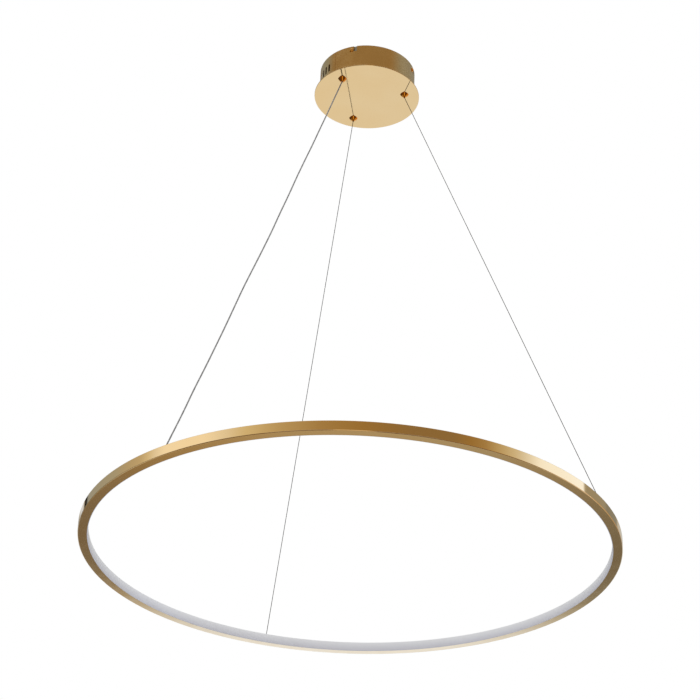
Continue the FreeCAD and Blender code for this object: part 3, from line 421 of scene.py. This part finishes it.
# a round section pushed out and in by a wave, so that one lobe stands for each strand
tree, size = shape_tree("stranded_wire", STRAND)
turned = laid(tree, stepped(tree, size["Geometry"], size["step"]), size["lay"])
section = round_section(tree, SECTION_POINTS, size["radius"])
number = node(tree, "GeometryNodeInputIndex").outputs[0]
phase = maths(tree, "MULTIPLY", number, math.tau * STRANDS / SECTION_POINTS)
lobe = maths(tree, "MULTIPLY", maths(tree, "COSINE", phase), size["lobe"])
position = node(tree, "GeometryNodeInputPosition").outputs[0]
outward = node(tree, "ShaderNodeVectorMath", {0: position}, operation="NORMALIZE").outputs[0]
shift = node(tree, "ShaderNodeVectorMath", {0: outward, "Scale": lobe}, operation="SCALE")
lobed = {"Geometry": section, "Offset": shift.outputs[0]}
section = node(tree, "GeometryNodeSetPosition", lobed).outputs[0]
end_tree(tree, swept(tree, turned, section), strand_steel)
wire_tree = tree

for letter, degrees in WIRE_DEGREES.items():
    top = polar(ANCHOR_RADIUS, degrees, ANCHOR_Z)
    bottom = polar(ATTACH_RADIUS, degrees, ATTACH_Z)
    points = [top, (top + bottom) / 2, bottom]
    base = route_line("route_" + letter, points)
    wire = grow("wire_" + letter, wire_tree, strand_steel, STRAND, base)
    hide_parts("suspension_wire_" + letter)
    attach(wire, "wire_" + letter)
    line_points("path_" + letter, points)

for body, low_z, high_z, radius in (
    ("canopy", ANCHOR_Z + HELD_FROM, HELD_TOP_Z, ANCHOR_RADIUS),
    ("ring", HELD_FOOT_Z, ATTACH_Z - HELD_FROM, ATTACH_RADIUS),
):
    for letter, degrees in WIRE_DEGREES.items():
        ends = [polar(radius, degrees, z) for z in (low_z, (low_z + high_z) / 2, high_z)]
        base = route_line("held", ends)
        wire = grow(f"wire_{letter}_in_{body}", wire_tree, strand_steel, STRAND, base)
        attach(wire, body)
        if letter == "a":
            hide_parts("wire_canopy_ends" if body == "canopy" else "wire_ring_ends")


# ------------------------------------------------------------------ supply cable
# A round cable 2.8 mm thick with a clear jacket over two tinned cores laid together. It carries
# the third side of the ring too, held in the cord grip above; it keeps a slight wave.
CABLE_DEGREES, CABLE_HELD_FROM = 230.0, 0.0015
CABLE = {"step": 0.003, "radius": 0.0014}
CORES = {"step": 0.002, "radius": 0.00055, "apart": 0.00125, "lay": 0.040}
FINE_STEP = {"step": 0.001}
# along the run from 0 to 1, and millimetres aside and sagging
cable_wave = [
    (0.050, 0.5, 0.2), (0.101, 1.1, 0.5), (0.152, 1.5, 0.4), (0.204, 1.7, 0.9), (0.254, 0.6, 1.1),
    (0.305, 1.3, 0.8), (0.357, 2.2, 1.5), (0.409, 2.6, 1.2), (0.460, 3.4, 1.9), (0.512, 3.1, 1.5),
    (0.561, 1.0, 1.8), (0.611, 0.4, 1.1), (0.663, 2.2, 0.8), (0.715, 2.4, 1.3), (0.766, 2.9, 0.9),
    (0.816, 2.1, 1.0), (0.866, 0.8, 0.5), (0.916, 1.4, 0.7), (0.960, 0.9, 0.2),
]
top = polar(ANCHOR_RADIUS, CABLE_DEGREES, ANCHOR_Z)
bottom = polar(ATTACH_RADIUS, CABLE_DEGREES, ATTACH_Z)
run = bottom - top
sideways = polar(1.0, CABLE_DEGREES + 90.0, 0.0)
sagging = sideways.cross(run).normalized()
cable_route = [top]
for part, side, sag in cable_wave:
    cable_route.append(top + run * part + sideways * (side / 1000) + sagging * (sag / 1000))
cable_route.append(bottom)

tones = (150, 150, 150), (174, 174, 174)
clear = {"IOR": 1.48, "Alpha": 0.62}
jacket, tree, shader = mottled("clear_jacket", (176, 177, 178), 0.0, 0.22, 40.0, tones, **clear)
tones = (120, 117, 113), (146, 142, 137)
tinned, tree, shader = mottled("tinned_copper", (138, 136, 132), 1.0, 0.35, 700.0, tones)

cable_tree = cord_tree("cable", CABLE, jacket)
tree, size = shape_tree("cable_cores", CORES)
twisted = laid(tree, stepped(tree, size["Geometry"], size["step"]), size["lay"])
section = round_section(tree, 10, size["radius"])
pair = tree.nodes.new("GeometryNodeJoinGeometry")
for side in (-1, 1):
    aside = maths(tree, "MULTIPLY", size["apart"], side / 2)
    place = node(tree, "ShaderNodeCombineXYZ", {"X": aside}).outputs[0]
    moved = node(tree, "GeometryNodeTransform", {"Geometry": section, "Translation": place})
    tree.links.new(moved.outputs[0], pair.inputs[0])
end_tree(tree, swept(tree, twisted, pair.outputs[0]), tinned)
cores_tree = tree


def with_cores(piece, inner):
    """The cores' mesh joined to the jacket's, with its own material, as one piece."""
    shape = bmesh.new()
    shape.from_mesh(piece.data)
    outside = len(shape.faces)
    shape.from_mesh(inner.data)
    shape.faces.ensure_lookup_table()
    for face in shape.faces[outside:]:
        face.material_index = 1
    shape.to_mesh(piece.data)
    piece.data.materials.append(inner.data.materials[0])
    bpy.data.objects.remove(inner)


cable = grow("cable", cable_tree, jacket, CABLE, route_line("cable_route", cable_route))
cores_route = route_line("cores_route", cable_route)
with_cores(cable, grow("cores", cores_tree, tinned, CORES, cores_route))
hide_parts("supply_cable")
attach(cable, "cable")
line_points("cable_path", cable_route)

# the held end above starts a little inside the cord grip, and runs over to the driver
start = polar(ANCHOR_RADIUS, CABLE_DEGREES, ANCHOR_Z + CABLE_HELD_FROM)
bend = Vector((start.x, start.y, -0.020))
across = bend + Vector((-0.020, 0.018, 0.002))
outlet = Vector((-0.052, -0.006, -0.042))
straight_in = outlet - Vector((0.026, 0, 0))
bush_heights = (-1.0908, -1.0925, -1.0945)
held_routes = {
    "cable_in_canopy": [start, bend, across, straight_in, outlet],
    "cable_in_ring": [polar(ATTACH_RADIUS, CABLE_DEGREES, z) for z in bush_heights],
}
for name, points in held_routes.items():
    base = route_line(name + "_route", points)
    piece = grow(name, cable_tree, jacket, CABLE | FINE_STEP, base)
    inner = route_line(name + "_cores", points)
    with_cores(piece, grow(name + "_inner", cores_tree, tinned, CORES | FINE_STEP, inner))
    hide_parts("cable_canopy_end" if name == "cable_in_canopy" else "cable_ring_end")
    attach(piece, "canopy" if name == "cable_in_canopy" else "ring")


# ------------------------------------------------------------------ ring profile
# Two rolled halves of an extruded aluminium channel, 18.5 mm deep and 18 mm high, open towards the
# ring's centre, lacquered satin gold. Splice plates and grub screws join them inside.
RING = {"radius": 0.500, "middle": -1.098, "half_height": 0.009}
RING_SEAM, SEAM_GAP = math.radians(-160.3), 0.0003
flange_mm = [
    (0.0, 9.0), (-17.3, 9.0), (-17.3, 7.6), (-15.5, 7.6), (-15.5, 6.9), (-14.5, 6.9), (-14.5, 7.6),
    (-1.4, 7.6),
]
profile_mm = flange_mm + [(x, -z) for x, z in reversed(flange_mm)]
# the first corner is the outer wall's upper edge, the last its lower one
PROFILE_ROUNDS = {0: 0.45, 15: 1.0}
ARC_STEPS, FLAT_MARGIN = 4, 0.06
CREASE_DEGREES = 40.0


def section_loop(name, corners_mm, rounds_mm):
    """A closed section, X outwards and Y downwards, with some of its corners rounded."""
    shape = bmesh.new()
    count = len(corners_mm)
    loop = []
    for k, (x, z) in enumerate(corners_mm):
        corner = Vector((x, -z, 0))
        size = rounds_mm.get(k)
        if size is None:
            loop.append(corner)
            continue
        before, after = corners_mm[k - 1], corners_mm[(k + 1) % count]
        back = (Vector((before[0], -before[1], 0)) - corner).normalized()
        ahead = (Vector((after[0], -after[1], 0)) - corner).normalized()
        centre = corner + (back + ahead) * size
        # a point just before and just after the arc keeps the flat faces beside it flat
        loop.append(corner + back * (size + FLAT_MARGIN))
        for step in range(ARC_STEPS + 1):
            angle = step / ARC_STEPS * math.pi / 2
            loop.append(centre - ahead * size * math.cos(angle) - back * size * math.sin(angle))
        loop.append(corner + ahead * (size + FLAT_MARGIN))
    verts = [shape.verts.new(p / 1000) for p in loop]
    for first, second in zip(verts, verts[1:] + verts[:1]):
        shape.edges.new((first, second))
    mesh = bpy.data.meshes.new(name)
    shape.to_mesh(mesh)
    return bpy.data.objects.new(name, mesh)


def crease(piece):
    """Sharp edges where faces meet at more than the crease angle, smooth faces elsewhere."""
    shape = bmesh.new()
    shape.from_mesh(piece.data)
    for edge in shape.edges:
        edge.smooth = edge.calc_face_angle(math.pi) < math.radians(CREASE_DEGREES)
    for face in shape.faces:
        face.smooth = True
    shape.to_mesh(piece.data)


satin_gold = gold_lacquer("satin_gold", 0.055, EVEN, 500.0, 0.08)[0]

SWEEP = {"radius": RING["radius"], "height": RING["middle"], "start": 0.0, "sweep": 0.0}
SWEEP["steps"] = 360
tree, size = shape_tree("ring_sweep", SWEEP)
inputs = {"Resolution": size["steps"], "Radius": size["radius"]}
inputs |= {"Start Angle": size["start"], "Sweep Angle": size["sweep"]}
arc = node(tree, "GeometryNodeCurveArc", inputs).outputs[0]
section = node(tree, "GeometryNodeMeshToCurve", {0: size["Geometry"]}).outputs[0]
lift = node(tree, "ShaderNodeCombineXYZ", {"Z": size["height"]}).outputs[0]
inputs = {"Geometry": swept(tree, arc, section), "Translation": lift}
end_tree(tree, node(tree, "GeometryNodeTransform", inputs).outputs[0], satin_gold)
sweep_tree = tree

trim = SEAM_GAP / 2 / RING["radius"]
for k, name in enumerate(("ring_front", "ring_back")):
    start = RING_SEAM + k * math.pi + trim
    sizes = SWEEP | {"start": start, "sweep": math.pi - 2 * trim}
    base = section_loop(name + "_section", profile_mm, PROFILE_ROUNDS)
    half = grow(name, sweep_tree, satin_gold, sizes, base)
    crease(half)
    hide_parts("ring_profile_front" if k == 0 else "ring_profile_back")
    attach(half, "ring")

coat(zinc, "splice_grub_screws")
mill, tree, shader = finish("mill_aluminium", linear(196, 197, 199), 1.0, 0.38)
bumps(tree, shader, grain(tree, (1, 1, 0.03), 1500.0), 30)
coat(mill, "splice_plates", "wire_ferrules")
coat(gripper_gold, "wire_bush_a", "wire_bush_b", "cable_bush")


# ------------------------------------------------------------------ light strip
# A white strip stuck to the channel's outer wall, with yellow light-emitting packages all round,
# and two red leads from the connector under the cable's bush.
tones = (230, 230, 223), (240, 240, 236)
strip_white, tree, shader = mottled("strip_white", (236, 236, 230), 0.0, 0.4, 80.0, tones)
coat(strip_white, "light_strip")

tones = (236, 206, 96), (244, 222, 128)
phosphor, tree, shader = mottled("phosphor", (240, 214, 110), 0.0, 0.35, 1500.0, tones)
coat(phosphor, "led_packages")

tones = (158, 38, 32), (182, 52, 42)
lead_red, tree, shader = mottled("lead_red", (170, 44, 36), 0.0, 0.38, 130.0, tones)
coat(lead_red, "feed_leads")


# ------------------------------------------------------------------ diffuser
# One long milky strip of extruded silicone, bent round inside the channel: its front wall laps
# over the flanges' edges, and its two legs hook on their ribs.
lip_mm = [
    (-18.5, 9.0), (-17.35, 9.0), (-17.35, 7.55), (-15.55, 7.55), (-15.55, 6.85), (-14.45, 6.85),
    (-14.45, 7.55), (-13.05, 7.55), (-13.05, 5.75), (-16.7, 5.75),
]
diffuser_mm = [(x, -z) for x, z in lip_mm] + lip_mm[::-1]
# the first corner is the front wall's lower edge, the last its upper one
DIFFUSER_ROUNDS = {0: 0.9, 19: 0.5}
# its ends meet but for a hair, in radians
HAIR_GAP = 0.00001

milky, tree, shader = finish("milky_silicone", linear(220, 221, 226), 0.0, 0.42)
x, y, z = node(tree, "ShaderNodeSeparateXYZ", {0: on_piece(tree)}).outputs
# painted light and shade: lighter towards its top edge, darker towards its bottom edge
lower, upper = (RING["middle"] + side * RING["half_height"] for side in (-1, 1))
painted_light_rise = maths(tree, "MULTIPLY", ranged(tree, z, lower, upper), 0.8)
# a soft random tone, with the painted light and shade added to it
tone_and_painted_light = maths(tree, "MULTIPLY_ADD", grain(tree, EVEN, 9.0), 0.25, painted_light_rise)
two_tone(tree, shader, tone_and_painted_light, linear(196, 196, 206), linear(240, 241, 243))
bumps(tree, shader, grain(tree, EVEN, 1800.0), 10)

sizes = SWEEP | {"start": RING_SEAM, "sweep": math.tau - HAIR_GAP, "steps": 720}
base = section_loop("diffuser_section", diffuser_mm, DIFFUSER_ROUNDS)
diffuser = grow("diffuser", sweep_tree, milky, sizes, base)
crease(diffuser)
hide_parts("ring_diffuser")
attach(diffuser, "ring")


# ------------------------------------------------------------------ studio
# A pale floor well below the lamp, a white surround, and soft light. Polished metal shows what
# stands around it, so reflections alone see a room: soft boxes, a dim wall and a low lamp.
FLOOR_Z, FLOOR_REACH = -3.1, 120.0
WHITE = (1.0, 1.0, 1.0, 1.0)


def directly_seen(tree):
    """1 for what the camera sees by itself or through something clear, 0 for other light."""
    path = node(tree, "ShaderNodeLightPath").outputs
    return maths(tree, "MAXIMUM", path["Is Camera Ray"], path["Is Transmission Ray"])


shape = bmesh.new()
bmesh.ops.create_grid(shape, x_segments=1, y_segments=1, size=FLOOR_REACH)
floor_mesh = bpy.data.meshes.new("floor")
shape.to_mesh(floor_mesh)
floor_mesh.transform(Matrix.Translation((0, 0, FLOOR_Z)))
floor = bpy.data.objects.new("floor", floor_mesh)
bpy.context.scene.collection.objects.link(floor)
floor_paper, tree, shader = finish("floor_paper", linear(238, 238, 238), 0.0, 0.9)
white = node(tree, "ShaderNodeEmission", {"Color": WHITE, "Strength": 1.0}).outputs[0]
inputs = {0: directly_seen(tree), 1: shader.outputs[0], 2: white}
shown = node(tree, "ShaderNodeMixShader", inputs).outputs[0]
tree.links.new(shown, tree.nodes["Material Output"].inputs["Surface"])
floor.data.materials.append(floor_paper)
floor.visible_glossy = False

world = bpy.data.worlds.new("surround")
bpy.context.scene.world = world
world.use_nodes = True
tree = world.node_tree
tree.nodes.clear()

# the reflected direction: to the camera's right, away from the camera, and up, each -1 to 1
direction = node(tree, "ShaderNodeTexCoord").outputs["Generated"]
right, away, up = node(tree, "ShaderNodeSeparateXYZ", {0: direction}).outputs
azimuth = maths(tree, "ARCTAN2", right, maths(tree, "MULTIPLY", away, -1.0))
round_share = ranged(tree, azimuth, -math.pi, math.pi)
height_share = ranged(tree, up, -1.0, 1.0)


def ramp(tree, factor, stops):
    """A ramp from (place, brightness or colour) pairs."""
    made = node(tree, "ShaderNodeValToRGB", {0: factor})
    elements = made.color_ramp.elements
    while len(elements) < len(stops):
        elements.new(0.5)
    for element, (place, value) in zip(elements, stops):
        element.position = place
        element.color = (*value, 1.0) if isinstance(value, tuple) else (value, value, value, 1.0)
    return made.outputs[0]


def round_stops(stops):
    """Stops given in degrees from straight behind the camera towards its right."""
    return [((angle + 180) / 360, value) for angle, value in stops]


def height_stops(stops):
    """Stops given in the upward part of the direction, from -1 to 1."""
    return [((height + 1) / 2, value) for height, value in stops]


# soft boxes left and right of the camera, a dim room between them, a stand at the far left
around = ramp(tree, round_share, round_stops([
    (-180, 0.12), (-170, 0.2), (-165, 0.4), (-159, 0.7), (-152.5, 0.75), (-151, 0.0),
    (-146.6, 0.0), (-145.8, 0.34), (-116, 0.41), (-99, 0.55), (-84, 0.97), (-64, 0.97),
    (-48, 0.72), (-31, 0.52), (-14, 0.40), (4, 0.34), (24, 0.28), (42, 0.28), (56, 0.39),
    (73, 0.72), (84, 0.97), (113, 1.0), (114, 0.36), (133, 0.34), (135, 0.26), (149, 0.28),
    (152, 0.55), (166, 0.6), (180, 0.2),
]))
# how much of that pattern each height shows: all of it from about 7 to 30 degrees up
show = ramp(tree, height_share, height_stops([
    (-1.0, 0.0), (0.0, 0.0), (0.12, 1.0), (0.5, 1.0), (0.56, 0.0),
]))
# elsewhere it is the same all round: a dark floor, a pale and a dim band, pale walls, and a
# ceiling that is dim at its edge and pale overhead
level = ramp(tree, height_share, height_stops([
    (-1.0, 0.05), (-0.8, 0.05), (-0.66, 0.8), (-0.56, 0.8), (-0.5, 0.55), (-0.47, 0.49),
    (-0.45, 0.39), (-0.43, 0.25), (-0.41, 0.18), (-0.395, 0.17), (-0.385, 0.24), (-0.377, 0.36),
    (-0.372, 0.85), (-0.365, 0.9), (0.3, 0.95), (0.5, 0.28), (0.68, 0.28), (0.85, 0.7),
    (1.0, 0.95),
]))
bright = blended(tree, show, level, around)

# the middle of the room is warm, its sides and the light from below are cooler
warm = ramp(tree, bright, [
    (0.0, (0.12, 0.07, 0.03)), (0.2, (0.2, 0.165, 0.12)), (0.34, (0.34, 0.22, 0.08)),
    (0.5, (0.5, 0.41, 0.25)), (0.68, (0.68, 0.62, 0.45)), (0.8, (0.8, 0.8, 0.78)),
    (1.0, (1.0, 1.0, 1.0)),
])
cool = ramp(tree, bright, [
    (0.0, (0.0, 0.0, 0.0)), (0.3, (0.29, 0.31, 0.29)), (0.5, (0.5, 0.5, 0.45)),
    (0.75, (0.7, 0.8, 1.0)), (1.0, (1.08, 1.3, 1.8)),
])
side_share = ramp(tree, round_share, round_stops([
    (-180, 0.6), (-153, 0.6), (-147, 1.0), (-116, 1.0), (-92, 0.0), (60, 0.0), (88, 0.8),
    (149, 0.8), (154, 0.65),
]))
low_share = ramp(tree, height_share, height_stops([
    (-0.53, 0.0), (-0.48, 0.3), (-0.4, 0.05), (-0.385, 0.3), (-0.37, 1.0),
]))
rightward = ranged(tree, right, -0.06, 0.06, 0.0, 0.35)
low_tint = maths(tree, "ADD", low_share, rightward, use_clamp=True)
upper_half = ranged(tree, up, -0.05, 0.05)
coolness = blended(tree, upper_half, low_tint, side_share)
room = blended(tree, coolness, warm, cool)

# level with the lamp and lower, the far left of the room is dark and the far right a warm wall
FAR_FROM, FAR_FULL = 0.5, 0.6
LEFT_DARK, RIGHT_WALL = (0.02, 0.014, 0.01, 1.0), (0.62, 0.37, 0.14, 1.0)
band = ramp(tree, height_share, height_stops([
    (-0.62, 0.0), (-0.52, 0.95), (0.05, 0.95), (0.25, 0.0),
]))
for side, tone in ((-1, LEFT_DARK), (1, RIGHT_WALL)):
    far = ranged(tree, right, side * FAR_FROM, side * FAR_FULL)
    room = blended(tree, maths(tree, "MULTIPLY", far, band), room, tone)

# low down on the camera's side the room is dark and warm, but for one narrow lamp, which puts a
# highlight on each gripper's cone
LOW_DARK, LOW_LAMP = (0.14, 0.07, 0.03, 1.0), (0.95, 0.75, 0.45, 1.0)
forward = ranged(tree, away, 0.15, -0.1)
downward = ranged(tree, up, -0.05, -0.2)
low_front = maths(tree, "MULTIPLY", forward, downward)
narrow = ranged(tree, maths(tree, "ABSOLUTE", right), 0.14, 0.1)
nearer = ranged(tree, away, -0.3, -0.36)
low_light = blended(tree, maths(tree, "MULTIPLY", narrow, nearer), LOW_DARK, LOW_LAMP)
seen = blended(tree, low_front, room, low_light)

# reflections see the room, the camera sees white, and everything else is lit evenly
SOFT_LIGHT = (0.85, 0.85, 0.85, 1.0)
glossy = node(tree, "ShaderNodeLightPath").outputs["Is Glossy Ray"]
lit = blended(tree, glossy, SOFT_LIGHT, seen)
colour = blended(tree, directly_seen(tree), lit, WHITE)
surround = node(tree, "ShaderNodeBackground", {"Color": colour, "Strength": 1.0})
node(tree, "ShaderNodeOutputWorld", {0: surround.outputs[0]})

# The camera is low in front of the lamp and looks up at it. Angles in radians.
CAMERA_PLACE = (0.0248, -3.4067, -2.6112)
CAMERA_YAW, CAMERA_PITCH, CAMERA_ROLL = -0.0114, 0.5175, 0.0396
FOCUS_PIXELS, PICTURE_PIXELS = 2008.7, 700
SENSOR_MM, SIGHT = 36.0, 400.0
lens = bpy.data.cameras.new("camera")
lens.sensor_width = SENSOR_MM
lens.lens = FOCUS_PIXELS / PICTURE_PIXELS * SENSOR_MM
lens.clip_end = SIGHT
camera = bpy.data.objects.new("camera", lens)
tilt = Matrix.Rotation(math.pi / 2 + CAMERA_PITCH, 4, "X")
turn = Matrix.Rotation(-CAMERA_YAW, 4, "Z") @ tilt
camera.matrix_world = Matrix.Translation(CAMERA_PLACE) @ turn @ Matrix.Rotation(CAMERA_ROLL, 4, "Z")
bpy.context.scene.collection.objects.link(camera)
bpy.context.scene.camera = camera
bpy.context.scene.view_settings.view_transform = "Standard"

bpy.context.view_layer.update()
